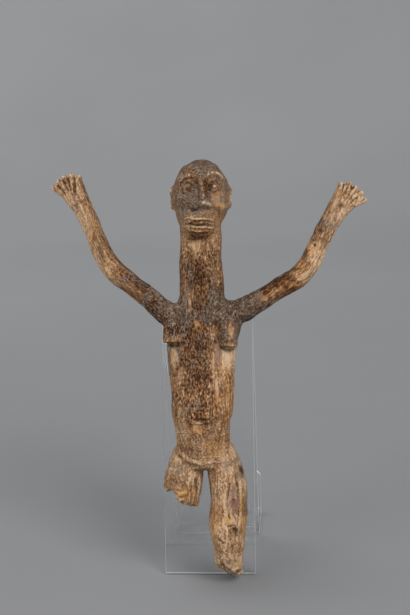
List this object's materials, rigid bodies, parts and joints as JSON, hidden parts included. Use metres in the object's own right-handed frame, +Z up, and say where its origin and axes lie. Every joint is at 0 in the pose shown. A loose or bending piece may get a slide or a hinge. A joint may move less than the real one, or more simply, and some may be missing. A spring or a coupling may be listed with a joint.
{
  "type": "carved wooden figure on a clear easel",
  "caption": "Carved wooden spirit figure with raised arms and a broken leg, leaning on a folded clear easel that holds it up.",
  "frame": {"origin": "centre of the whole object's outline on the surface that it stands on", "axes": "+Z up, -Y the way the figure faces, +X to the figure's left hand"},
  "size_m": [0.223, 0.1416, 0.3001],
  "materials": {
    "carved_wood": "matte",
    "clear_sheet": "gloss"
  },
  "bodies": {
    "root": {"figure": "carved_wood", "easel": "clear_sheet"}
  },
  "joints": []
}
